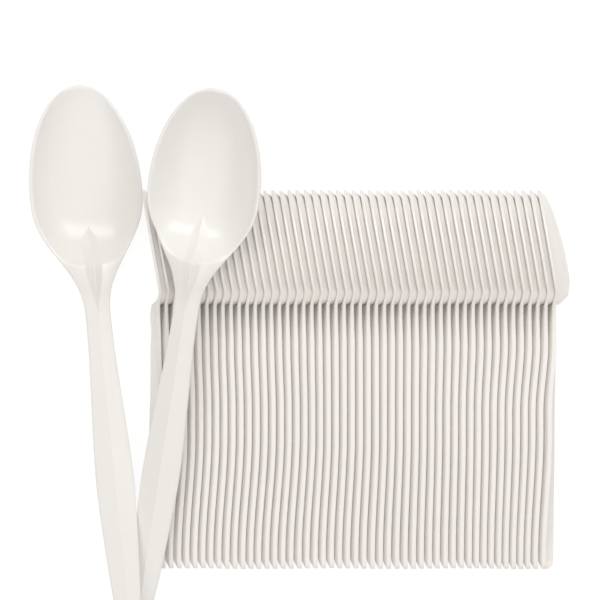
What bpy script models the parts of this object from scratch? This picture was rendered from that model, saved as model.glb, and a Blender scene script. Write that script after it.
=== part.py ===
# Plastic cutlery pack: fifty teaspoons nested into one another in a row that lies
# on its side, with two loose tablespoons of the same pattern at its left end.
# Metres, +Z up. +X runs along the row, +Y from the handles to the tips of the bowls.
# The origin is under the middle of the pack, on the surface that it lies on.
# Run with: blender --background --python part.py

import math
from dataclasses import dataclass

import bmesh
import bpy
from mathutils import Matrix, Vector
from mathutils.bvhtree import BVHTree

# The nested teaspoons: lengths are measured along a spoon from the tip of its bowl
TEASPOON_COUNT = 50
TEASPOON_LENGTH = 0.1144
TEASPOON_BOWL_LENGTH = 0.0345
TEASPOON_BOWL_WIDTH = 0.0218
TEASPOON_BOWL_DEPTH = 0.0044
TEASPOON_RIM_LIP = 0.0007
TEASPOON_NECK_LENGTH = 0.0100
TEASPOON_NECK_WIDTH = 0.0048
TEASPOON_HANDLE_WIDTH = 0.0072
TEASPOON_RIDGE = 0.0024
TEASPOON_END_WIDTH = 0.0024
TEASPOON_SPINE_WIDTH = 0.0032
TEASPOON_WALL = 0.001056

# The two loose tablespoons
TABLESPOON_LENGTH = 0.1800
TABLESPOON_BOWL_LENGTH = 0.0543
TABLESPOON_BOWL_WIDTH = 0.0343
TABLESPOON_BOWL_DEPTH = 0.0069
TABLESPOON_RIM_LIP = 0.0010
TABLESPOON_NECK_LENGTH = 0.0157
TABLESPOON_NECK_WIDTH = 0.0075
TABLESPOON_HANDLE_WIDTH = 0.0114
TABLESPOON_RIDGE = 0.0019
TABLESPOON_END_WIDTH = 0.0034
TABLESPOON_SPINE_WIDTH = 0.0050
TABLESPOON_WALL = 0.00130

# The gaps: between the walls of two nested spoons, and where one spoon lies on another
NEST_GAP = 0.00030
REST_GAP = 0.00030

# Where the loose tablespoons lie: how far the left bowl stays off the row, seen from
# above, where it may reach a little under the row's leaning tips, how far the
# right bowl's middle stands in from the row's left end, and how far each bowl's widest
# place stands ahead of the widest place of the teaspoons' bowls. Seen from above, each
# spoon is turned by its yaw, and its roll leans it towards the other one.
LEFT_BOWL_OFF_ROW = -0.0001
RIGHT_BOWL_INSET = 0.0190
LEFT_BOWL_AHEAD = 0.0194
RIGHT_BOWL_AHEAD = 0.0203
LEFT_YAW_DEG = 5.9
RIGHT_YAW_DEG = -8.9
LEFT_ROLL_DEG = 6.0
RIGHT_ROLL_DEG = -7.0

# The pattern that both sizes share. Shares are of the bowl's length, or of the handle's
# for its widest place and its taper, and powers set how square a curve is.
RIM_TILT_DEG = 10.0
BOWL_WIDEST_SHARE = 0.586
BOWL_DEEPEST_SHARE = 0.71
BOWL_HEEL_SHARE = 0.86
HANDLE_WIDEST_SHARE = 0.47
SPINE_START_SHARE = 0.74
ROOF_START_SHARE = 0.80
TIP_ZONE_SHARE = 0.40
CREASE_BOW_SHARE = 0.055
STEP_SHARE = 0.02
SECTION_POWER = 2.95
FRONT_POWER = 2.6
REAR_POWER = 2.3
SPINE_SLOPE = 0.35
TAPER_STRAIGHT_SHARE = 0.36
END_BOW_SHARE = 0.35

# The plastic, and the angle above which a facet's edge is shaded as a sharp one
TEASPOON_COLOUR = (0.88, 0.855, 0.825, 1.0)
TABLESPOON_COLOUR = (0.88, 0.86, 0.835, 1.0)
ROUGHNESS = 0.35
SHARP_ANGLE = math.radians(30.0)

# How slopes are measured, how finely edges are sampled where one spoon lies on another,
# and how the angle of a resting spoon is found
SLOPE_STEP = 0.00005
SLOPE_STEP_ACROSS = 0.01
INNER_RIM = 0.98
PITCH_ROWS = 60
PITCH_COLUMNS = 20
EDGE_SAMPLE = 0.001
BISECTIONS = 16
LAST_QUARTER = 0.75
LIFT = 0.5
STEEPEST_SLOPE = math.radians(35.0)


@dataclass
class Spoon:
    """The sizes of one spoon, in metres."""
    length: float
    bowl_length: float
    bowl_width: float
    bowl_depth: float
    lip: float
    neck_length: float
    neck_width: float
    handle_width: float
    ridge: float
    end_width: float
    spine_width: float
    wall: float


TEASPOON = Spoon(
    TEASPOON_LENGTH, TEASPOON_BOWL_LENGTH, TEASPOON_BOWL_WIDTH, TEASPOON_BOWL_DEPTH,
    TEASPOON_RIM_LIP, TEASPOON_NECK_LENGTH, TEASPOON_NECK_WIDTH, TEASPOON_HANDLE_WIDTH,
    TEASPOON_RIDGE, TEASPOON_END_WIDTH, TEASPOON_SPINE_WIDTH, TEASPOON_WALL)
TABLESPOON = Spoon(
    TABLESPOON_LENGTH, TABLESPOON_BOWL_LENGTH, TABLESPOON_BOWL_WIDTH, TABLESPOON_BOWL_DEPTH,
    TABLESPOON_RIM_LIP, TABLESPOON_NECK_LENGTH, TABLESPOON_NECK_WIDTH, TABLESPOON_HANDLE_WIDTH,
    TABLESPOON_RIDGE, TABLESPOON_END_WIDTH, TABLESPOON_SPINE_WIDTH, TABLESPOON_WALL)

# The faceting: places along the bowl as shares of its length, places along the handle
# as shares from the neck to its end, and places across the bowl as shares of its half width
TEASPOON_ROWS = (0.0, 0.14, 0.38, BOWL_WIDEST_SHARE, 0.70, BOWL_HEEL_SHARE, 1.0)
TEASPOON_HANDLE_ROWS = (0.0, HANDLE_WIDEST_SHARE, 0.80, 0.96, 1.0)
TEASPOON_COLUMNS = (-1.0, -0.55, 0.0, 0.55, 1.0)
TABLESPOON_ROWS = (
    0.0, 0.03, 0.10, 0.22, 0.38, BOWL_WIDEST_SHARE, SPINE_START_SHARE, 0.84, 0.90, 0.96, 1.0)
TABLESPOON_HANDLE_ROWS = (0.0, 0.2, HANDLE_WIDEST_SHARE, 0.65, 0.80, 0.92, 0.98, 1.0)
TABLESPOON_COLUMNS = (-1.0, -0.94, -0.75, -0.45, -0.16, 0.0, 0.16, 0.45, 0.75, 0.94, 1.0)


def ease(t):
    """Smooth step from 0 to 1."""
    t = min(max(t, 0.0), 1.0)
    return t * t * (3.0 - 2.0 * t)


def ease_long(t):
    """Smoother step from 0 to 1, with flatter ends."""
    t = min(max(t, 0.0), 1.0)
    return t * t * t * (t * (6.0 * t - 15.0) + 10.0)


def neck_at(s):
    return s.bowl_length + s.neck_length


def handle_widest_at(s):
    return neck_at(s) + HANDLE_WIDEST_SHARE * (s.length - neck_at(s))


def end_rounding(s, d):
    """Falls from 1 to 0 in a quarter round over the last end width of the handle."""
    into_end = max(0.0, (d - (s.length - s.end_width)) / s.end_width)
    return math.sqrt(max(0.0, 1.0 - into_end ** 2))


def half_width(s, d):
    """Half of the outline's width at distance d from the bowl's tip."""
    widest = BOWL_WIDEST_SHARE * s.bowl_length
    bowl = 0.5 * s.bowl_width
    neck = 0.5 * s.neck_width
    handle = 0.5 * s.handle_width
    end = 0.5 * s.end_width
    if d <= widest:
        return bowl * math.sqrt(max(0.0, 1.0 - ((widest - d) / widest) ** 2))
    if d <= neck_at(s):
        return bowl + (neck - bowl) * ease_long((d - widest) / (neck_at(s) - widest))
    if d <= handle_widest_at(s):
        return neck + (handle - neck) * ease((d - neck_at(s)) / (handle_widest_at(s) - neck_at(s)))
    t = (d - handle_widest_at(s)) / (s.length - handle_widest_at(s))
    taper = handle - (handle - end) * t * (TAPER_STRAIGHT_SHARE + (1.0 - TAPER_STRAIGHT_SHARE) * t)
    return taper * end_rounding(s, d)


def edge_shift(s, c):
    """How far along the spoon the outline stands from the centreline point c of its row."""
    tip_bow = 0.5 * s.end_width
    tip_zone = TIP_ZONE_SHARE * s.bowl_length
    crease_bow = CREASE_BOW_SHARE * s.bowl_length
    if c < tip_zone:
        return tip_bow * (1.0 - c / tip_zone) ** 3
    if c <= s.bowl_length:
        return -crease_bow * ease((c / s.bowl_length - BOWL_DEEPEST_SHARE) / (1.0 - BOWL_DEEPEST_SHARE))
    if c < neck_at(s):
        return -crease_bow * (1.0 - ease((c - s.bowl_length) / s.neck_length))
    into_end = max(0.0, (c - (s.length - s.end_width)) / s.end_width)
    return -END_BOW_SHARE * s.end_width * into_end ** 3


def edge_height(s, d):
    """Height of the rim and of the handle's edges: the bowl tips up from its heel."""
    heel = BOWL_HEEL_SHARE * s.bowl_length
    if d <= heel:
        return (heel - d) * math.tan(math.radians(RIM_TILT_DEG))
    return STEP_SHARE * s.bowl_length * ease((d - heel) / (s.bowl_length - heel))


def dish_share(s, c):
    """Depth of the dish along its centreline, as a share of the full depth."""
    deepest = BOWL_DEEPEST_SHARE * s.bowl_length
    if c <= deepest:
        t = max(0.0, (c - s.lip) / (deepest - s.lip))
        return 1.0 - (1.0 - t) ** FRONT_POWER
    t = max(0.0, (s.bowl_length - c) / (s.bowl_length - deepest))
    return 1.0 - (1.0 - t) ** REAR_POWER


def spine_size(s, c):
    """Half width of the spine that runs from the bowl's floor into the handle's ridge."""
    start = SPINE_START_SHARE * s.bowl_length
    full = 0.5 * (start + s.bowl_length)
    grown = ease((c - start) / (full - start))
    faded = 1.0 - ease((c - s.bowl_length) / s.neck_length)
    return 0.5 * s.spine_width * grown * faded


def surface(s, c, q):
    """Point on the concave side: c along the centreline, q across from -1 to 1."""
    edge_at = c + edge_shift(s, c)
    width = half_width(s, edge_at)
    roof_start = ROOF_START_SHARE * s.bowl_length
    d = c + edge_shift(s, c) * q * q
    u = q * width
    across = 1.0
    if width > s.lip:
        across = min(1.0, abs(u) / (width - s.lip))
    dish = s.bowl_depth * dish_share(s, c) * (1.0 - across ** SECTION_POWER)
    roof_grown = ease((c - roof_start) / (s.bowl_length - roof_start))
    roof = s.ridge * (1.0 - abs(q)) * roof_grown * end_rounding(s, c)
    half_spine = spine_size(s, c)
    spine = SPINE_SLOPE * max(0.0, half_spine - abs(u))
    return Vector((u, -d, edge_height(s, d) + roof + spine - dish))


def wall_height(s, c, q):
    """Thickness of the wall measured straight down, which grows where the wall is steep."""
    inside = 2.0 * SLOPE_STEP
    inner_c = min(max(c, inside), s.length - s.end_width)
    if abs(c - s.bowl_length) < SLOPE_STEP:
        inner_c = s.bowl_length - inside
    inner_q = min(max(q, -INNER_RIM), INNER_RIM)
    along = surface(s, inner_c + SLOPE_STEP, inner_q) - surface(s, inner_c - SLOPE_STEP, inner_q)
    across = (surface(s, inner_c, inner_q + SLOPE_STEP_ACROSS)
              - surface(s, inner_c, inner_q - SLOPE_STEP_ACROSS))
    normal = along.cross(across).normalized()
    return s.wall / abs(normal.z)


def nest_pitch(s):
    """Distance from spoon to spoon when one lies in the next with the nest gap all round."""
    highest = 0.0
    for i in range(PITCH_ROWS + 1):
        for j in range(PITCH_COLUMNS):
            height = wall_height(s, s.bowl_length * i / PITCH_ROWS, j / PITCH_COLUMNS)
            highest = max(highest, height)
    return highest * (s.wall + NEST_GAP) / s.wall


def spoon_rows(s, bowl_rows, handle_rows, columns):
    """The rows of points of one spoon: each point's upper and lower end."""
    rows = []
    for share in bowl_rows:
        rows.append([(share * s.bowl_length, q) for q in columns])
    for share in handle_rows:
        c = neck_at(s) + share * (s.length - neck_at(s))
        rows.append([(c, q) for q in (-1.0, 0.0, 1.0)])
    points = []
    for row in rows:
        points.append([])
        for c, q in row:
            top = surface(s, c, q)
            bottom = top - Vector((0.0, 0.0, wall_height(s, c, q)))
            points[-1].append((top, bottom))
    return points


def row_triangles(near, far):
    """Triangles between two rows of point numbers, mirrored about their middles."""
    triangles = []
    half_near = len(near) // 2
    half_far = len(far) // 2
    for side in (1, -1):
        a = near[::side][:half_near + 1]
        b = far[::side][:half_far + 1]
        if len(a) == len(b):
            for j in range(half_near):
                triangles.append((a[j], a[j + 1], b[j + 1])[::side])
                triangles.append((a[j], b[j + 1], b[j])[::side])
        else:
            for j in range(half_near):
                triangles.append((a[j], a[j + 1], b[0])[::side])
            triangles.append((a[-1], b[-1], b[0])[::side])
    return triangles


def spoon_mesh(name, s, bowl_rows, handle_rows, columns, colour):
    """One closed spoon: its concave side, its back and the cut edge that joins them."""
    points = spoon_rows(s, bowl_rows, handle_rows, columns)
    bm = bmesh.new()
    tops = [[bm.verts.new(top) for top, _ in row] for row in points]
    bottoms = [[bm.verts.new(bottom) for _, bottom in row] for row in points]
    for i in range(len(points) - 1):
        for corners in row_triangles(tops[i], tops[i + 1]):
            bm.faces.new(corners)
        for corners in row_triangles(bottoms[i], bottoms[i + 1]):
            bm.faces.new(corners[::-1])
    outline = []
    for layer in (tops, bottoms):
        left = [row[0] for row in layer[1:-1]]
        right = [row[-1] for row in layer[1:-1]]
        outline.append(layer[0] + right + layer[-1][::-1] + left[::-1])
    upper, lower = outline
    for i in range(len(upper)):
        bm.faces.new((upper[i - 1], upper[i], lower[i], lower[i - 1]))
    bmesh.ops.recalc_face_normals(bm, faces=bm.faces)
    mesh = bpy.data.meshes.new(name)
    bm.to_mesh(mesh)
    bm.free()
    mesh.shade_smooth()
    mesh.set_sharp_from_angle(angle=SHARP_ANGLE)
    material = bpy.data.materials.new(name + "_plastic")
    material.use_nodes = True
    shader = material.node_tree.nodes["Principled BSDF"]
    shader.inputs["Base Color"].default_value = colour
    shader.inputs["Roughness"].default_value = ROUGHNESS
    shader.inputs["Metallic"].default_value = 0.0
    mesh.materials.append(material)
    return mesh


def corners_of(mesh, matrix):
    return [matrix @ v.co for v in mesh.vertices]


def edge_samples(mesh, matrix):
    """Points along every edge of a mesh, close enough to find where two edges cross."""
    corners = corners_of(mesh, matrix)
    samples = list(corners)
    for edge in mesh.edges:
        a = corners[edge.vertices[0]]
        b = corners[edge.vertices[1]]
        steps = int((b - a).length / EDGE_SAMPLE)
        samples.extend(a.lerp(b, (i + 1) / (steps + 1)) for i in range(steps))
    return samples


def surface_tree(mesh, matrix):
    return BVHTree.FromPolygons(corners_of(mesh, matrix), [tuple(p.vertices) for p in mesh.polygons])


def drop_gap(mesh, matrix, carriers):
    """How far a mesh can drop before it meets the carriers, less than zero if it is too low."""
    lifted = Matrix.Translation((0.0, 0.0, LIFT)) @ matrix
    tree = surface_tree(mesh, lifted)
    own_samples = edge_samples(mesh, lifted)
    low_x = min(p.x for p in own_samples)
    high_x = max(p.x for p in own_samples)
    low_y = min(p.y for p in own_samples)
    high_y = max(p.y for p in own_samples)
    down = Vector((0.0, 0.0, -1.0))
    gap = math.inf
    for samples, carrier_tree in carriers:
        for point in own_samples:
            distance = carrier_tree.ray_cast(point, down)[3]
            if distance is not None:
                gap = min(gap, distance)
        for point in samples:
            if low_x < point.x < high_x and low_y < point.y < high_y:
                distance = tree.ray_cast(point, -down)[3]
                if distance is not None:
                    gap = min(gap, distance)
    return gap - LIFT


def loose_matrix(middle, yaw, slope, roll):
    """Place a tablespoon by the middle of its bowl's widest place."""
    widest = BOWL_WIDEST_SHARE * TABLESPOON.bowl_length
    return (Matrix.Translation(middle) @ Matrix.Rotation(yaw, 4, "Z")
            @ Matrix.Rotation(slope, 4, "X") @ Matrix.Rotation(roll, 4, "Y")
            @ Matrix.Translation((0.0, widest, 0.0)))


def lowest(mesh, matrix):
    return min(p.z for p in corners_of(mesh, matrix))


def end_height(mesh, matrix):
    """Height of the lowest corner of the handle's last quarter."""
    last = [matrix @ v.co for v in mesh.vertices if v.co.y < -LAST_QUARTER * TABLESPOON.length]
    return min(p.z for p in last)


def bisect(function, low, high):
    """The angle between low and high where a rising function passes zero."""
    for _ in range(BISECTIONS):
        middle = 0.5 * (low + high)
        if function(middle) > 0.0:
            high = middle
        else:
            low = middle
    return high


# Start from an empty scene
for old in list(bpy.data.objects):
    bpy.data.objects.remove(old, do_unlink=True)

teaspoon = spoon_mesh(
    "teaspoon", TEASPOON, TEASPOON_ROWS, TEASPOON_HANDLE_ROWS, TEASPOON_COLUMNS, TEASPOON_COLOUR)
tablespoon = spoon_mesh(
    "tablespoon", TABLESPOON, TABLESPOON_ROWS, TABLESPOON_HANDLE_ROWS, TABLESPOON_COLUMNS,
    TABLESPOON_COLOUR)

# The row of teaspoons: each stands on edge, its hollow side to -X, and leans on the
# floor with the widest place of its bowl and the edge of its handle
on_edge = Matrix.Rotation(math.radians(-90.0), 4, "Y")
standing = corners_of(teaspoon, on_edge)
foot = min(standing, key=lambda p: p.z)
lean = min(math.atan2(p.z - foot.z, foot.y - p.y) for p in standing if p.y < foot.y - TEASPOON.bowl_width)
leaning = Matrix.Rotation(lean, 4, "X") @ on_edge
floor_lift = -lowest(teaspoon, leaning)
pitch = nest_pitch(TEASPOON)
row_matrices = [
    Matrix.Translation((i * pitch, 0.0, floor_lift)) @ leaning for i in range(TEASPOON_COUNT)]
row_left = min(p.x for p in corners_of(teaspoon, row_matrices[0]))
teaspoon_widest_y = -BOWL_WIDEST_SHARE * TEASPOON.bowl_length
left_y = teaspoon_widest_y + LEFT_BOWL_AHEAD
right_y = teaspoon_widest_y + RIGHT_BOWL_AHEAD

# The right tablespoon: its bowl lies on the row's upper edges, and its handle slopes
# down past the ends of the teaspoons' handles to the floor
right_x = row_left + RIGHT_BOWL_INSET
right_yaw = math.radians(RIGHT_YAW_DEG)
right_roll = math.radians(RIGHT_ROLL_DEG)
reach = TABLESPOON.bowl_width + TABLESPOON.length * math.sin(abs(right_yaw))
carriers_of_right = [
    (edge_samples(teaspoon, m), surface_tree(teaspoon, m))
    for m in row_matrices if abs(m.translation.x - right_x) < reach]


def right_rest(slope):
    """The right tablespoon at a slope, dropped onto the row."""
    high = loose_matrix((right_x, right_y, 0.0), right_yaw, slope, right_roll)
    drop = drop_gap(tablespoon, high, carriers_of_right) - REST_GAP
    return Matrix.Translation((0.0, 0.0, -drop)) @ high


right_slope = bisect(lambda a: -end_height(tablespoon, right_rest(a)), 0.0, STEEPEST_SLOPE)
right_matrix = right_rest(right_slope)

# The left tablespoon: its bowl lies on the floor beside the row, and its handle lies
# across the right tablespoon's handle
left_yaw = math.radians(LEFT_YAW_DEG)
left_roll = math.radians(LEFT_ROLL_DEG)
left_x = row_left - LEFT_BOWL_OFF_ROW - 0.5 * TABLESPOON.bowl_width / math.cos(left_yaw)
carrier_of_left = [(edge_samples(tablespoon, right_matrix), surface_tree(tablespoon, right_matrix))]


def left_rest(slope):
    """The left tablespoon at a slope, dropped onto the floor."""
    high = loose_matrix((left_x, left_y, 0.0), left_yaw, slope, left_roll)
    return Matrix.Translation((0.0, 0.0, -lowest(tablespoon, high))) @ high


left_slope = bisect(
    lambda a: drop_gap(tablespoon, left_rest(-a), carrier_of_left) - REST_GAP,
    0.0, STEEPEST_SLOPE)
left_matrix = left_rest(-left_slope)

# Place every spoon with the pack's middle over the origin
pieces = [("teaspoon_%02d" % (i + 1), teaspoon, m) for i, m in enumerate(row_matrices)]
pieces.append(("tablespoon_left", tablespoon, left_matrix))
pieces.append(("tablespoon_right", tablespoon, right_matrix))
everything = [p for _, mesh, m in pieces for p in corners_of(mesh, m)]
middle_x = 0.5 * (min(p.x for p in everything) + max(p.x for p in everything))
middle_y = 0.5 * (min(p.y for p in everything) + max(p.y for p in everything))
to_origin = Matrix.Translation((-middle_x, -middle_y, 0.0))
for name, mesh, matrix in pieces:
    spoon = bpy.data.objects.new(name, mesh)
    spoon.matrix_world = to_origin @ matrix
    bpy.context.scene.collection.objects.link(spoon)
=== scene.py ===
# Looks of the plastic cutlery pack: fine spoons stand for the faceted solids.
# Metres, +Z up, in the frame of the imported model: +X runs along the row of teaspoons,
# +Y from the handles to the tips of the bowls.

import math
from dataclasses import dataclass

import bpy
import numpy as np
from mathutils import Matrix, Vector


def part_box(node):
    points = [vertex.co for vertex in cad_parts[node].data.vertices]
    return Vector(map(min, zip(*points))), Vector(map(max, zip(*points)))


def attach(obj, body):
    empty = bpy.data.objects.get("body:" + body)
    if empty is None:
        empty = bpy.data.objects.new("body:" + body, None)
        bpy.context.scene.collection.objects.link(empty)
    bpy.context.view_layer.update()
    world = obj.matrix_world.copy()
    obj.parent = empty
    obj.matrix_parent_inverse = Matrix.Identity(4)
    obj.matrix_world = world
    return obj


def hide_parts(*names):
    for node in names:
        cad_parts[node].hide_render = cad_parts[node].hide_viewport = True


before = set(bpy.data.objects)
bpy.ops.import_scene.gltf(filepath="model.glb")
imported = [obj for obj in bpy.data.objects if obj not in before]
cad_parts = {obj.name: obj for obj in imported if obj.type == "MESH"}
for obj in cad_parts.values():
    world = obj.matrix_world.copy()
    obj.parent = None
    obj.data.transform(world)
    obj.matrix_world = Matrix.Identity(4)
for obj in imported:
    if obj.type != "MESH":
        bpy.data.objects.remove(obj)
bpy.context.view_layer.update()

# The row of teaspoons
# Fifty thin moulded spoons of satin off-white plastic, nested into one another on edge.
# Each rests on the floor and in its neighbour, and nothing holds the row together.
TEASPOON_COUNT = 50
# How far each spoon leans from upright, so that its bowl and its handle's end both rest
LEAN_DEG = 5.88
RIM_TILT_DEG = 10.0
BOWL_WIDEST_SHARE = 0.586
BOWL_DEEPEST_SHARE = 0.71
BOWL_HEEL_SHARE = 0.86
HANDLE_WIDEST_SHARE = 0.47
SPINE_START_SHARE = 0.74
TIP_ZONE_SHARE = 0.40
CREASE_BOW_SHARE = 0.055
STEP_SHARE = 0.02
SECTION_POWER = 2.95
FRONT_POWER = 2.6
SPINE_SLOPE = 0.60
TAPER_STRAIGHT_SHARE = 0.36
END_BOW_SHARE = 0.35
# The handle's ridge is lower where the handle is narrow, by this power of its width, and
# it runs out over this many end widths
NARROWING_POWER = 1.0
RIDGE_RUN_OUT = 1.4
# The dish spans at least this share of the half width
NARROWEST_DISH_SHARE = 0.2
# The back is fuller round the heel and the tip, between these shares of the bowl's length
HEEL_FILL_SHARES = (0.85, 0.94, 0.975, 1.015)
TIP_FILL_SHARES = (0.005, 0.05, 0.10, 0.35)
SLOPE_STEP = 0.00005
SLOPE_STEP_ACROSS = 0.01
INNER_RIM = 0.98
# Places over the rounding of an edge, as shares of its radius
EDGE_SHARES = (0.0, 0.04, 0.17, 0.40, 0.67, 1.0)
# Places round the tip's lip and round the crease behind the bowl, in lip widths
TIP_PLACES = (0.75, 1.0, 1.25, 1.7)
CREASE_PLACES = (-1.0, -0.5, -0.2, 0.0, 0.2, 0.5, 1.0)
# Places over the handle's rounded end, in end widths from it
TAIL_PLACES = (1.0, 0.75, 0.5, 0.3)
# How far the evenly spaced rows keep off the tip and the crease, in lip widths, and off
# the handle's end, in end widths
ROWS_OFF_TIP = 2.4
ROWS_OFF_CREASE = 1.8
ROWS_OFF_END = 1.4
# The most that the lip and the rounding of the edge take of the half width
MOST_LIP_SHARE = 0.6
MOST_RADIUS_SHARE = 0.3
# The columns close in on the spine over this share of the bowl's length, down to this
# share of the half width
SPINE_LEAD_SHARE = 0.15
NARROWEST_SPINE_SHARE = 0.1
# Places over which the wall's height is averaged, in lip widths
SOFTENING = (-0.5, -0.25, 0.0, 0.25, 0.5)
# The wall thins to its rim over this many lip widths
THINNED_LIPS = 2.0
# The most that the rounding takes of the wall's height
MOST_ROUNDING_SHARE = 0.45


@dataclass
class Spoon:
    """The sizes of one spoon, in metres, and the power of its bowl's rear curve."""
    length: float
    bowl_length: float
    bowl_width: float
    bowl_depth: float
    lip: float
    neck_length: float
    neck_width: float
    handle_width: float
    ridge: float
    ridge_from: float
    ridge_full: float
    end_width: float
    spine_width: float
    rear_power: float
    wall: float
    rim_wall: float
    edge_radius: float
    handle_radius: float
    heel_fill: float
    tip_fill: float
    most_height: float


TEASPOON = Spoon(
    length=0.1144, bowl_length=0.0345, bowl_width=0.0218, bowl_depth=0.00405, lip=0.0007,
    neck_length=0.0100, neck_width=0.0048, handle_width=0.0072, ridge=0.0030,
    ridge_from=0.0287, ridge_full=0.0480, end_width=0.0024,
    spine_width=0.0032, rear_power=2.3, wall=0.00106, rim_wall=0.00100, edge_radius=0.00044,
    handle_radius=0.00022, heel_fill=0.0010, tip_fill=0.0005, most_height=0.00226)


def ease(t):
    """Smooth step from 0 to 1."""
    t = np.clip(t, 0.0, 1.0)
    return t * t * (3.0 - 2.0 * t)


def ease_long(t):
    """Smoother step from 0 to 1, with flatter ends."""
    t = np.clip(t, 0.0, 1.0)
    return t * t * t * (t * (6.0 * t - 15.0) + 10.0)


def window(x, places):
    """Rises from 0 to 1 between the first two places and falls between the last two."""
    rise = ease((x - places[0]) / (places[1] - places[0]))
    return rise * (1.0 - ease((x - places[2]) / (places[3] - places[2])))


def neck_at(s):
    return s.bowl_length + s.neck_length


def end_rounding(s, d):
    """Falls from 1 to 0 in a quarter round over the last end width of the handle."""
    into_end = np.clip((d - (s.length - s.end_width)) / s.end_width, 0.0, 1.0)
    return np.sqrt(1.0 - into_end ** 2)


def half_width(s, d):
    """Half of the outline's width at distance d from the bowl's tip."""
    widest = BOWL_WIDEST_SHARE * s.bowl_length
    handle_widest = neck_at(s) + HANDLE_WIDEST_SHARE * (s.length - neck_at(s))
    bowl = 0.5 * s.bowl_width
    neck = 0.5 * s.neck_width
    handle = 0.5 * s.handle_width
    end = 0.5 * s.end_width
    front = bowl * np.sqrt(np.clip(1.0 - ((widest - d) / widest) ** 2, 0.0, 1.0))
    rear = bowl + (neck - bowl) * ease_long((d - widest) / (neck_at(s) - widest))
    stem = neck + (handle - neck) * ease((d - neck_at(s)) / (handle_widest - neck_at(s)))
    t = (d - handle_widest) / (s.length - handle_widest)
    taper = handle - (handle - end) * t * (TAPER_STRAIGHT_SHARE + (1.0 - TAPER_STRAIGHT_SHARE) * t)
    tail = taper * end_rounding(s, d)
    return np.select([d <= widest, d <= neck_at(s), d <= handle_widest], [front, rear, stem], tail)


def edge_shift(s, c):
    """How far along the spoon the outline stands from the centreline point c of its row."""
    tip_zone = TIP_ZONE_SHARE * s.bowl_length
    crease_bow = CREASE_BOW_SHARE * s.bowl_length
    tip = 0.5 * s.end_width * np.clip(1.0 - c / tip_zone, 0.0, 1.0) ** 3
    into_crease = (c / s.bowl_length - BOWL_DEEPEST_SHARE) / (1.0 - BOWL_DEEPEST_SHARE)
    crease = crease_bow * ease(into_crease) * (1.0 - ease((c - s.bowl_length) / s.neck_length))
    into_end = np.clip((c - (s.length - s.end_width)) / s.end_width, 0.0, 1.0)
    return tip - crease - END_BOW_SHARE * s.end_width * into_end ** 3


def edge_height(s, d):
    """Height of the rim and of the handle's edges: the bowl tips up from its heel."""
    heel = BOWL_HEEL_SHARE * s.bowl_length
    rim = np.maximum(heel - d, 0.0) * math.tan(math.radians(RIM_TILT_DEG))
    return rim + STEP_SHARE * s.bowl_length * ease((d - heel) / (s.bowl_length - heel))


def dish_share(s, c):
    """Depth of the dish along its centreline, as a share of the full depth."""
    deepest = BOWL_DEEPEST_SHARE * s.bowl_length
    front = np.clip((c - s.lip) / (deepest - s.lip), 0.0, 1.0)
    rear = np.clip((s.bowl_length - c) / (s.bowl_length - deepest), 0.0, 1.0)
    return np.where(c <= deepest, 1.0 - (1.0 - front) ** FRONT_POWER, 1.0 - (1.0 - rear) ** s.rear_power)


def bowl_part(s, c):
    """Falls from 1 in the bowl to 0 behind the neck."""
    return 1.0 - ease((c - s.bowl_length) / s.neck_length)


def spine_size(s, c):
    """Half width of the spine that runs from the bowl's floor into the handle's ridge."""
    start = SPINE_START_SHARE * s.bowl_length
    full = 0.5 * (start + s.bowl_length)
    return 0.5 * s.spine_width * ease((c - start) / (full - start)) * bowl_part(s, c)


def surface(s, c, q):
    """Points on the concave side: c along the centreline, q across from -1 to 1."""
    shift = edge_shift(s, c)
    width = half_width(s, c + shift)
    d = c + shift * q * q
    u = q * width
    across = np.clip(np.abs(u) / np.maximum(width - s.lip, NARROWEST_DISH_SHARE * width), 0.0, 1.0)
    dish = s.bowl_depth * dish_share(s, c) * (1.0 - across ** SECTION_POWER)
    roof_grown = ease((c - s.ridge_from) / (s.ridge_full - s.ridge_from))
    run_out = np.sin(0.5 * math.pi * np.clip((s.length - c) / (RIDGE_RUN_OUT * s.end_width), 0.0, 1.0))
    narrowing = np.clip(2.0 * width / s.handle_width, 0.0, 1.0) ** NARROWING_POWER
    roof = s.ridge * narrowing * (1.0 - np.abs(q)) * roof_grown * run_out
    spine = SPINE_SLOPE * np.maximum(0.0, spine_size(s, c) - np.abs(u))
    return np.stack([u, -d, edge_height(s, d) + roof + spine - dish], axis=-1)


def wall_height(s, c, q):
    """Thickness of the wall measured straight down, which grows where the wall is steep."""
    inside = 2.0 * SLOPE_STEP
    inner_c = np.clip(c, inside, s.length - s.end_width)
    inner_c = np.where(np.abs(c - s.bowl_length) < SLOPE_STEP, s.bowl_length - inside, inner_c)
    inner_q = np.clip(q, -INNER_RIM, INNER_RIM)
    along = surface(s, inner_c + SLOPE_STEP, inner_q) - surface(s, inner_c - SLOPE_STEP, inner_q)
    across = (surface(s, inner_c, inner_q + SLOPE_STEP_ACROSS)
              - surface(s, inner_c, inner_q - SLOPE_STEP_ACROSS))
    normal = np.cross(along, across)
    return s.wall * np.linalg.norm(normal, axis=-1) / np.abs(normal[..., 2])


def radius_at(s, c):
    """Rounding of the edges, which is smaller on the handle."""
    return s.handle_radius + (s.edge_radius - s.handle_radius) * bowl_part(s, c)


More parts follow.
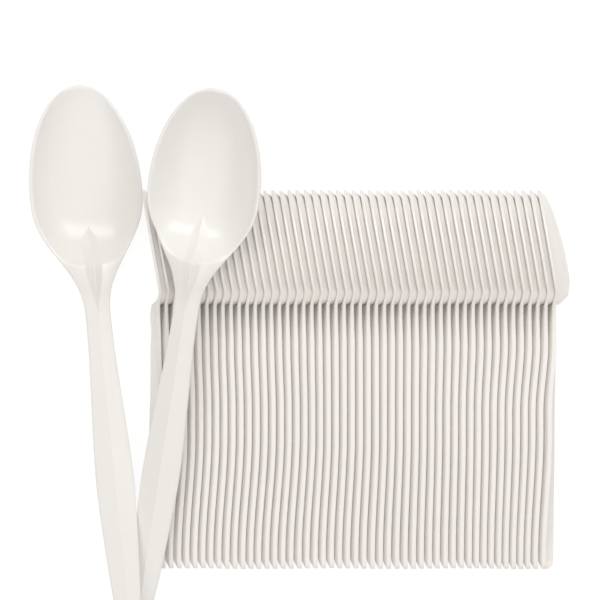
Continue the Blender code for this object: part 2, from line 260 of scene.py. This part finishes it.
def row_places(s, bowl_rows, handle_rows):
    """Places of the mesh's rows along the spoon: closer at the tip, the crease and the end."""
    rim = np.array(EDGE_SHARES) * s.edge_radius
    tip = np.array(TIP_PLACES) * s.lip
    bowl = np.linspace(ROWS_OFF_TIP * s.lip, s.bowl_length - ROWS_OFF_CREASE * s.lip, bowl_rows)
    crease = s.bowl_length + np.array(CREASE_PLACES) * s.lip
    handle_start = s.bowl_length + ROWS_OFF_CREASE * s.lip
    handle = np.linspace(handle_start, s.length - ROWS_OFF_END * s.end_width, handle_rows)
    tail = s.length - np.array(TAIL_PLACES) * s.end_width
    return np.sort(np.concatenate([rim, tip, bowl, crease, handle, tail, s.length - rim]))


def column_places(s, c, width, inner_shares, spine_share):
    """Distances of the mesh's columns from the middle of each row, from its edge inwards."""
    lip = np.minimum(s.lip, MOST_LIP_SHARE * width)
    radius = np.minimum(radius_at(s, c), MOST_RADIUS_SHARE * width)
    inner = width - lip
    start = SPINE_START_SHARE * s.bowl_length
    lead = SPINE_LEAD_SHARE * s.bowl_length
    followed = ease((c - start + lead) / lead) * bowl_part(s, c)
    spine_edge = np.maximum(spine_size(s, c), NARROWEST_SPINE_SHARE * inner)
    spine_at = (1.0 - followed) * spine_share * inner + followed * spine_edge
    columns = [width - share * radius for share in EDGE_SHARES]
    columns.append(inner)
    for share in inner_shares:
        outside = (share - spine_share) / (1.0 - spine_share)
        if share >= spine_share:
            columns.append(spine_at + (inner - spine_at) * outside)
        else:
            columns.append(spine_at * share / spine_share)
    return np.stack(columns, axis=-1)


def spoon_points(s, bowl_rows, handle_rows, inner_shares, spine_share):
    """Upper and lower points of one spoon, as two arrays of rows and columns."""
    c = row_places(s, bowl_rows, handle_rows)
    width = half_width(s, c + edge_shift(s, c))
    half = column_places(s, c, width, inner_shares, spine_share)
    u = np.concatenate([-half[:, :-1], half[:, ::-1]], axis=1)
    q = u / width[:, None]
    c = np.repeat(c[:, None], q.shape[1], axis=1)
    top = surface(s, c, q)
    height = np.zeros_like(q)
    for step in SOFTENING:
        height += wall_height(s, c + step * s.lip, q) / len(SOFTENING)
    height += s.heel_fill * window(c / s.bowl_length, HEEL_FILL_SHARES)
    height += s.tip_fill * window(c / s.bowl_length, TIP_FILL_SHARES)
    height = np.minimum(height, s.most_height)
    from_edge = np.minimum(width[:, None] * (1.0 - np.abs(q)), np.minimum(c, s.length - c))
    thin = bowl_part(s, c) * (1.0 - ease(from_edge / (THINNED_LIPS * s.lip)))
    height += (s.rim_wall - height) * thin
    radius = np.minimum(radius_at(s, c), MOST_ROUNDING_SHARE * height)
    into_rounding = np.clip(radius - from_edge, 0.0, radius)
    rounding = radius - np.sqrt(radius ** 2 - into_rounding ** 2)
    bottom = top.copy()
    bottom[..., 2] += rounding - height
    top[..., 2] -= rounding
    return top, bottom


def spoon_mesh(name, s, bowl_rows, handle_rows, inner_shares, spine_share):
    """One closed spoon: its concave side, its back and the narrow edge between them."""
    top, bottom = spoon_points(s, bowl_rows, handle_rows, inner_shares, spine_share)
    rows, columns = top.shape[:2]
    numbers = np.arange(rows * columns).reshape(rows, columns)
    a, b = numbers[:-1, :-1], numbers[1:, :-1]
    d, e = numbers[1:, 1:], numbers[:-1, 1:]
    upper = np.stack([a, b, d, e], axis=-1).reshape(-1, 4)
    lower = upper[:, ::-1] + rows * columns
    loop = np.concatenate([numbers[:, 0], numbers[-1, 1:], numbers[-2::-1, -1], numbers[0, -2:0:-1]])
    following = np.roll(loop, -1)
    edge = np.stack([following, loop, loop + rows * columns, following + rows * columns], axis=-1)
    vertices = np.concatenate([top.reshape(-1, 3), bottom.reshape(-1, 3)])
    faces = np.concatenate([upper, lower, edge])
    mesh = bpy.data.meshes.new(name)
    mesh.from_pydata(vertices.tolist(), [], faces.tolist())
    mesh.shade_smooth()
    return mesh


def moved_copy(name, base, points, material):
    """An object whose mesh is the base mesh with its points moved, at the scene's origin."""
    mesh = base.copy()
    mesh.name = name
    mesh.vertices.foreach_set("co", points.astype(np.float32).ravel())
    mesh.update()
    mesh.materials.append(material)
    piece = bpy.data.objects.new(name, mesh)
    bpy.context.scene.collection.objects.link(piece)
    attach(piece, "root")
    return piece


def points_of(mesh):
    points = np.empty(3 * len(mesh.vertices))
    mesh.vertices.foreach_get("co", points)
    return points.reshape(-1, 3)


def placed(points, matrix):
    """Points moved by a 4 by 4 matrix."""
    m = np.array(matrix)
    return points @ m[:3, :3].T + m[:3, 3]


def noise(tree, scale, detail, coordinates):
    """A noise texture over the object's own coordinates."""
    texture = tree.nodes.new("ShaderNodeTexNoise")
    texture.inputs["Scale"].default_value = scale
    texture.inputs["Detail"].default_value = detail
    tree.links.new(coordinates.outputs["Object"], texture.inputs["Vector"])
    return texture


# The usual range of a noise texture
NOISE_LOW = 0.3
NOISE_HIGH = 0.7


def spread(tree, texture, low, high):
    """Maps a noise texture's usual range onto low to high."""
    node = tree.nodes.new("ShaderNodeMapRange")
    node.inputs["From Min"].default_value = NOISE_LOW
    node.inputs["From Max"].default_value = NOISE_HIGH
    node.inputs["To Min"].default_value = low
    node.inputs["To Max"].default_value = high
    tree.links.new(texture.outputs["Fac"], node.inputs["Value"])
    return node


# Moulded plastic: scales are in cycles a metre, and each pair is the range of an effect
MOTTLING_SCALE = 140.0
MOTTLING_DETAIL = 3.0
MOTTLING_TINT = (0.994, 1.004)
SHEEN_SCALE = 320.0
SHEEN_DETAIL = 2.0
SHEEN_ROUGHNESS = (0.285, 0.325)
GRAIN_SCALE = 5200.0
GRAIN_DETAIL = 2.0
GRAIN_STRENGTH = 0.15
GRAIN_HEIGHT = 0.00001
PLASTIC_IOR = 1.6
SPECULAR_LEVEL = 0.7


def moulded_plastic_group():
    """Shared node group: the faint mottling, uneven sheen and fine grain of moulded plastic."""
    tree = bpy.data.node_groups.new("moulded plastic", "ShaderNodeTree")
    tree.interface.new_socket("Tint", in_out="INPUT", socket_type="NodeSocketColor")
    tree.interface.new_socket("Color", in_out="OUTPUT", socket_type="NodeSocketColor")
    tree.interface.new_socket("Roughness", in_out="OUTPUT", socket_type="NodeSocketFloat")
    tree.interface.new_socket("Height", in_out="OUTPUT", socket_type="NodeSocketFloat")
    group_in = tree.nodes.new("NodeGroupInput")
    group_out = tree.nodes.new("NodeGroupOutput")
    coordinates = tree.nodes.new("ShaderNodeTexCoord")
    mottling = spread(tree, noise(tree, MOTTLING_SCALE, MOTTLING_DETAIL, coordinates), *MOTTLING_TINT)
    scaled = tree.nodes.new("ShaderNodeVectorMath")
    scaled.operation = "SCALE"
    tree.links.new(group_in.outputs["Tint"], scaled.inputs[0])
    tree.links.new(mottling.outputs["Result"], scaled.inputs["Scale"])
    sheen = spread(tree, noise(tree, SHEEN_SCALE, SHEEN_DETAIL, coordinates), *SHEEN_ROUGHNESS)
    grain = noise(tree, GRAIN_SCALE, GRAIN_DETAIL, coordinates)
    tree.links.new(scaled.outputs["Vector"], group_out.inputs["Color"])
    tree.links.new(sheen.outputs["Result"], group_out.inputs["Roughness"])
    tree.links.new(grain.outputs["Fac"], group_out.inputs["Height"])
    return tree


def plastic(name, tint):
    """Satin plastic of one tint."""
    material = bpy.data.materials.new(name)
    material.use_nodes = True
    tree = material.node_tree
    shader = tree.nodes["Principled BSDF"]
    group = tree.nodes.new("ShaderNodeGroup")
    group.node_tree = moulded_plastic
    group.inputs["Tint"].default_value = (*tint, 1.0)
    bump = tree.nodes.new("ShaderNodeBump")
    bump.inputs["Strength"].default_value = GRAIN_STRENGTH
    bump.inputs["Distance"].default_value = GRAIN_HEIGHT
    shader.inputs["IOR"].default_value = PLASTIC_IOR
    shader.inputs["Specular IOR Level"].default_value = SPECULAR_LEVEL
    shader.inputs["Metallic"].default_value = 0.0
    tree.links.new(group.outputs["Color"], shader.inputs["Base Color"])
    tree.links.new(group.outputs["Roughness"], shader.inputs["Roughness"])
    tree.links.new(group.outputs["Height"], bump.inputs["Height"])
    tree.links.new(bump.outputs["Normal"], shader.inputs["Normal"])
    return material


# The teaspoons' off-white is the plastic's own colour, lifted to lighten the shade in the grooves
# between their nested handles: painted light.
TEASPOON_TINT_WITH_PAINTED_LIGHT = (0.88, 0.858, 0.828)
moulded_plastic = moulded_plastic_group()
teaspoon_plastic = plastic("teaspoon plastic", TEASPOON_TINT_WITH_PAINTED_LIGHT)

# The handles aren't quite straight: each swings along the row by these distances,
# which change from spoon to spoon. The early swing is behind the neck, the late one
# nearer the handle's end.
SWING_SPOONS = (1, 16, 23, 29, 33, 40, 46, 49, 50)
EARLY_SWING = (0.0005, 0.0005, 0.0001, 0.0, -0.00015, -0.0006, -0.0012, -0.00145, -0.00125)
LATE_SPOONS = (1, 16, 23, 29, 33, 40, 44, 50)
LATE_SWING = (-0.0018, -0.0020, -0.0015, -0.0012, -0.0008, -0.0004, -0.0008, -0.0016)
EARLY_SWING_FROM = 0.046
EARLY_SWING_OVER = 0.020
LATE_SWING_FROM = 0.074
LATE_SWING_OVER = 0.036
# The last handle also rolls: its lower edge swings less
LAST_LOWER_SHARE = 0.2
# How far single spoons stray along the row and slip along their own length, and a slow
# wave of slipping that runs down the row
STRAY = 0.00003
STRAY_SEED = 11
SLIP = 0.00004
LONG_SLIP = 0.00012
LONG_SLIP_SPOONS = 17.0
# The mesh's rows, and its columns as shares of the width inside the lip
TEASPOON_BOWL_ROWS = 36
TEASPOON_HANDLE_ROWS = 34
TEASPOON_COLUMNS = (0.95, 0.87, 0.76, 0.63, 0.50, 0.38, 0.27, 0.18, 0.10, 0.04, 0.0)
TEASPOON_SPINE_COLUMN = 0.27

random = np.random.default_rng(STRAY_SEED)
teaspoon = spoon_mesh(
    "teaspoon base", TEASPOON, TEASPOON_BOWL_ROWS, TEASPOON_HANDLE_ROWS, TEASPOON_COLUMNS,
    TEASPOON_SPINE_COLUMN)
teaspoon_points = points_of(teaspoon)
along_spoon = -teaspoon_points[:, 1]
leaning = Matrix.Rotation(math.radians(LEAN_DEG), 4, "X") @ Matrix.Rotation(math.radians(-90.0), 4, "Y")
standing = placed(teaspoon_points, leaning)
first_low, first_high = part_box("teaspoon_01")
last_low, last_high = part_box("teaspoon_50")
pitch = (last_low[0] - first_low[0]) / (TEASPOON_COUNT - 1)
standing += (
    first_low[0] - standing[:, 0].min(),
    first_high[1] - LONG_SLIP - SLIP - standing[:, 1].max(),
    -standing[:, 2].min())
stray_part = ease((along_spoon - EARLY_SWING_FROM) / EARLY_SWING_OVER)
late_part = ease((along_spoon - LATE_SWING_FROM) / LATE_SWING_OVER)
for i in range(TEASPOON_COUNT):
    points = standing.copy()
    is_last = i == TEASPOON_COUNT - 1
    swing = np.interp(i + 1, SWING_SPOONS, EARLY_SWING) * stray_part
    swing += np.interp(i + 1, LATE_SPOONS, LATE_SWING) * late_part
    if is_last:
        local_half = np.maximum(half_width(TEASPOON, along_spoon), 0.5 * TEASPOON.end_width)
        upper_part = np.clip(1.0 + teaspoon_points[:, 0] / local_half, 0.0, 1.0)
        swing *= LAST_LOWER_SHARE + (1.0 - LAST_LOWER_SHARE) * upper_part
    stray = random.uniform(-STRAY, STRAY, 2)
    points[:, 0] += i * pitch + swing + stray[0] * stray_part + stray[1] * late_part
    points[:, 1] += random.uniform(-SLIP, SLIP)
    points[:, 1] += LONG_SLIP * math.sin(2.0 * math.pi * i / LONG_SLIP_SPOONS)
    number = "%02d" % (i + 1)
    piece = moved_copy("teaspoon_piece_" + number, teaspoon, points, teaspoon_plastic)
    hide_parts("teaspoon_" + number)

# The two loose tablespoons
# The same pattern at full size in the same satin plastic, in a slightly less warm tint set a little
# darker to tone down their lit bowls: painted shade. The right one lies on the row and slopes to the
# floor, and the left one's handle lies across it.
TABLESPOON = Spoon(
    length=0.1800, bowl_length=0.0543, bowl_width=0.0339, bowl_depth=0.0068, lip=0.0010,
    neck_length=0.0157, neck_width=0.0075, handle_width=0.0114, ridge=0.0024,
    ridge_from=0.0434, ridge_full=0.0560, end_width=0.0034,
    spine_width=0.0050, rear_power=1.8, wall=0.00130, rim_wall=0.00120, edge_radius=0.00036,
    handle_radius=0.00036, heel_fill=0.0, tip_fill=0.0, most_height=0.004)
# The plastic's off-white, set a little darker than the teaspoons' to tone down the lit bowls: painted
# shade.
TABLESPOON_TINT_WITH_PAINTED_SHADE = (0.865, 0.851, 0.83)
TABLESPOON_BOWL_ROWS = 90
TABLESPOON_HANDLE_ROWS = 80
TABLESPOON_COLUMNS = (
    0.975, 0.94, 0.89, 0.83, 0.77, 0.70, 0.63, 0.56, 0.49, 0.43, 0.37, 0.31, 0.28,
    0.25, 0.22, 0.19, 0.16, 0.13, 0.10, 0.07, 0.045, 0.02, 0.0)
TABLESPOON_SPINE_COLUMN = 0.25
# How the two are turned from above, how their handles slope and how they roll
RIGHT_YAW_DEG = -8.9
RIGHT_SLOPE_DEG = 11.8999
RIGHT_ROLL_DEG = -7.0
LEFT_YAW_DEG = 5.9
LEFT_SLOPE_DEG = -2.767
LEFT_ROLL_DEG = 6.0

tablespoon_plastic = plastic("tablespoon plastic", TABLESPOON_TINT_WITH_PAINTED_SHADE)
tablespoon = spoon_mesh(
    "tablespoon base", TABLESPOON, TABLESPOON_BOWL_ROWS, TABLESPOON_HANDLE_ROWS, TABLESPOON_COLUMNS,
    TABLESPOON_SPINE_COLUMN)


def loose_tablespoon(side, yaw_deg, slope_deg, roll_deg):
    """Lays one tablespoon where its solid lies."""
    turned = (
        Matrix.Rotation(math.radians(yaw_deg), 4, "Z") @ Matrix.Rotation(math.radians(slope_deg), 4, "X")
        @ Matrix.Rotation(math.radians(roll_deg), 4, "Y"))
    points = placed(points_of(tablespoon), turned)
    low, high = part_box("tablespoon_" + side)
    middle = 0.5 * (points.min(axis=0) + points.max(axis=0))
    points += (
        0.5 * (low[0] + high[0]) - middle[0], 0.5 * (low[1] + high[1]) - middle[1],
        low[2] - points[:, 2].min())
    piece = moved_copy("tablespoon_piece_" + side, tablespoon, points, tablespoon_plastic)
    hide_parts("tablespoon_" + side)


loose_tablespoon("right", RIGHT_YAW_DEG, RIGHT_SLOPE_DEG, RIGHT_ROLL_DEG)
loose_tablespoon("left", LEFT_YAW_DEG, LEFT_SLOPE_DEG, LEFT_ROLL_DEG)

# The floor, the light and the camera
# A white studio floor that keeps a soft shadow, an even pale surround, a wide soft lamp
# above, a long one beyond the bowls' tips and a low one behind the handles' ends. The
# camera looks straight down, with the tips at the top.
FLOOR_HALF = 6.0
FLOOR_COLOUR = (0.90, 0.90, 0.90, 1.0)
FLOOR_ROUGHNESS = 0.9
# The floor's own white, and its share of what the camera and reflections see
GLOW = 1.10
GLOW_SHARE = 0.8
TOP_WATTS = 8.0
TOP_SIZE = 2.2
TOP_PLACE = Vector((0.0, -1.1, 2.7))
LONG_WATTS = 18.5
LONG_LENGTH = 3.0
LONG_WIDTH = 0.85
LONG_PLACE = Vector((0.16, 0.70, 1.40))
LOW_WATTS = 8.0
LOW_LENGTH = 2.4
LOW_WIDTH = 1.4
LOW_PLACE = Vector((-0.5, -2.06, 1.50))
SURROUND = 0.485
SURROUND_TINT = (1.0, 0.95, 0.895, 1.0)
CAMERA_HEIGHT = 2.5
CAMERA_OVER = Vector((0.00019, 0.02525, CAMERA_HEIGHT))
# At this height over the floor the picture is this wide
PACK_HEIGHT = 0.010
SEEN_WIDTH = 0.180
SENSOR_MM = 36.0
NEAREST_SEEN = 0.1
FARTHEST_SEEN = 50.0

floor_mesh = bpy.data.meshes.new("floor")
floor_mesh.from_pydata(
    [(-FLOOR_HALF, -FLOOR_HALF, 0.0), (FLOOR_HALF, -FLOOR_HALF, 0.0), (FLOOR_HALF, FLOOR_HALF, 0.0),
     (-FLOOR_HALF, FLOOR_HALF, 0.0)], [], [(0, 1, 2, 3)])
floor = bpy.data.objects.new("floor", floor_mesh)
bpy.context.scene.collection.objects.link(floor)
floor_material = bpy.data.materials.new("studio floor")
floor_material.use_nodes = True
floor_tree = floor_material.node_tree
floor_shader = floor_tree.nodes["Principled BSDF"]
floor_shader.inputs["Base Color"].default_value = FLOOR_COLOUR
floor_shader.inputs["Roughness"].default_value = FLOOR_ROUGHNESS
glow = floor_tree.nodes.new("ShaderNodeEmission")
glow.inputs["Color"].default_value = (1.0, 1.0, 1.0, 1.0)
glow.inputs["Strength"].default_value = GLOW
light_path = floor_tree.nodes.new("ShaderNodeLightPath")
seen = floor_tree.nodes.new("ShaderNodeMath")
seen.operation = "ADD"
seen.use_clamp = True
seen_at_all = floor_tree.nodes.new("ShaderNodeMath")
seen_at_all.operation = "ADD"
seen_at_all.use_clamp = True
share = floor_tree.nodes.new("ShaderNodeMath")
share.operation = "MULTIPLY"
share.inputs[1].default_value = GLOW_SHARE
mixed = floor_tree.nodes.new("ShaderNodeMixShader")
floor_tree.links.new(light_path.outputs["Is Camera Ray"], seen.inputs[0])
floor_tree.links.new(light_path.outputs["Is Glossy Ray"], seen.inputs[1])
floor_tree.links.new(seen.outputs["Value"], seen_at_all.inputs[0])
floor_tree.links.new(light_path.outputs["Is Transmission Ray"], seen_at_all.inputs[1])
floor_tree.links.new(seen_at_all.outputs["Value"], share.inputs[0])
floor_tree.links.new(share.outputs["Value"], mixed.inputs["Fac"])
floor_tree.links.new(floor_shader.outputs["BSDF"], mixed.inputs[1])
floor_tree.links.new(glow.outputs["Emission"], mixed.inputs[2])
floor_tree.links.new(mixed.outputs["Shader"], floor_tree.nodes["Material Output"].inputs["Surface"])
floor_mesh.materials.append(floor_material)

world = bpy.data.worlds.new("surround")
world.use_nodes = True
world.node_tree.nodes["Background"].inputs["Color"].default_value = SURROUND_TINT
world.node_tree.nodes["Background"].inputs["Strength"].default_value = SURROUND
bpy.context.scene.world = world


def lamp(name, place, length, width, watts):
    """A rectangular soft lamp that points at the origin."""
    data = bpy.data.lights.new(name, "AREA")
    data.shape = "RECTANGLE"
    data.size = length
    data.size_y = width
    data.energy = watts
    light = bpy.data.objects.new(name, data)
    light.location = place
    light.rotation_euler = (-place).to_track_quat("-Z", "Y").to_euler()
    bpy.context.scene.collection.objects.link(light)


lamp("top lamp", TOP_PLACE, TOP_SIZE, TOP_SIZE, TOP_WATTS)
lamp("long lamp", LONG_PLACE, LONG_LENGTH, LONG_WIDTH, LONG_WATTS)
lamp("low lamp", LOW_PLACE, LOW_LENGTH, LOW_WIDTH, LOW_WATTS)

camera_data = bpy.data.cameras.new("camera")
camera_data.sensor_width = SENSOR_MM
camera_data.lens = SENSOR_MM * (CAMERA_HEIGHT - PACK_HEIGHT) / SEEN_WIDTH
camera_data.clip_start = NEAREST_SEEN
camera_data.clip_end = FARTHEST_SEEN
camera = bpy.data.objects.new("camera", camera_data)
camera.location = CAMERA_OVER
bpy.context.scene.collection.objects.link(camera)
bpy.context.scene.camera = camera
bpy.context.scene.view_settings.view_transform = "Standard"
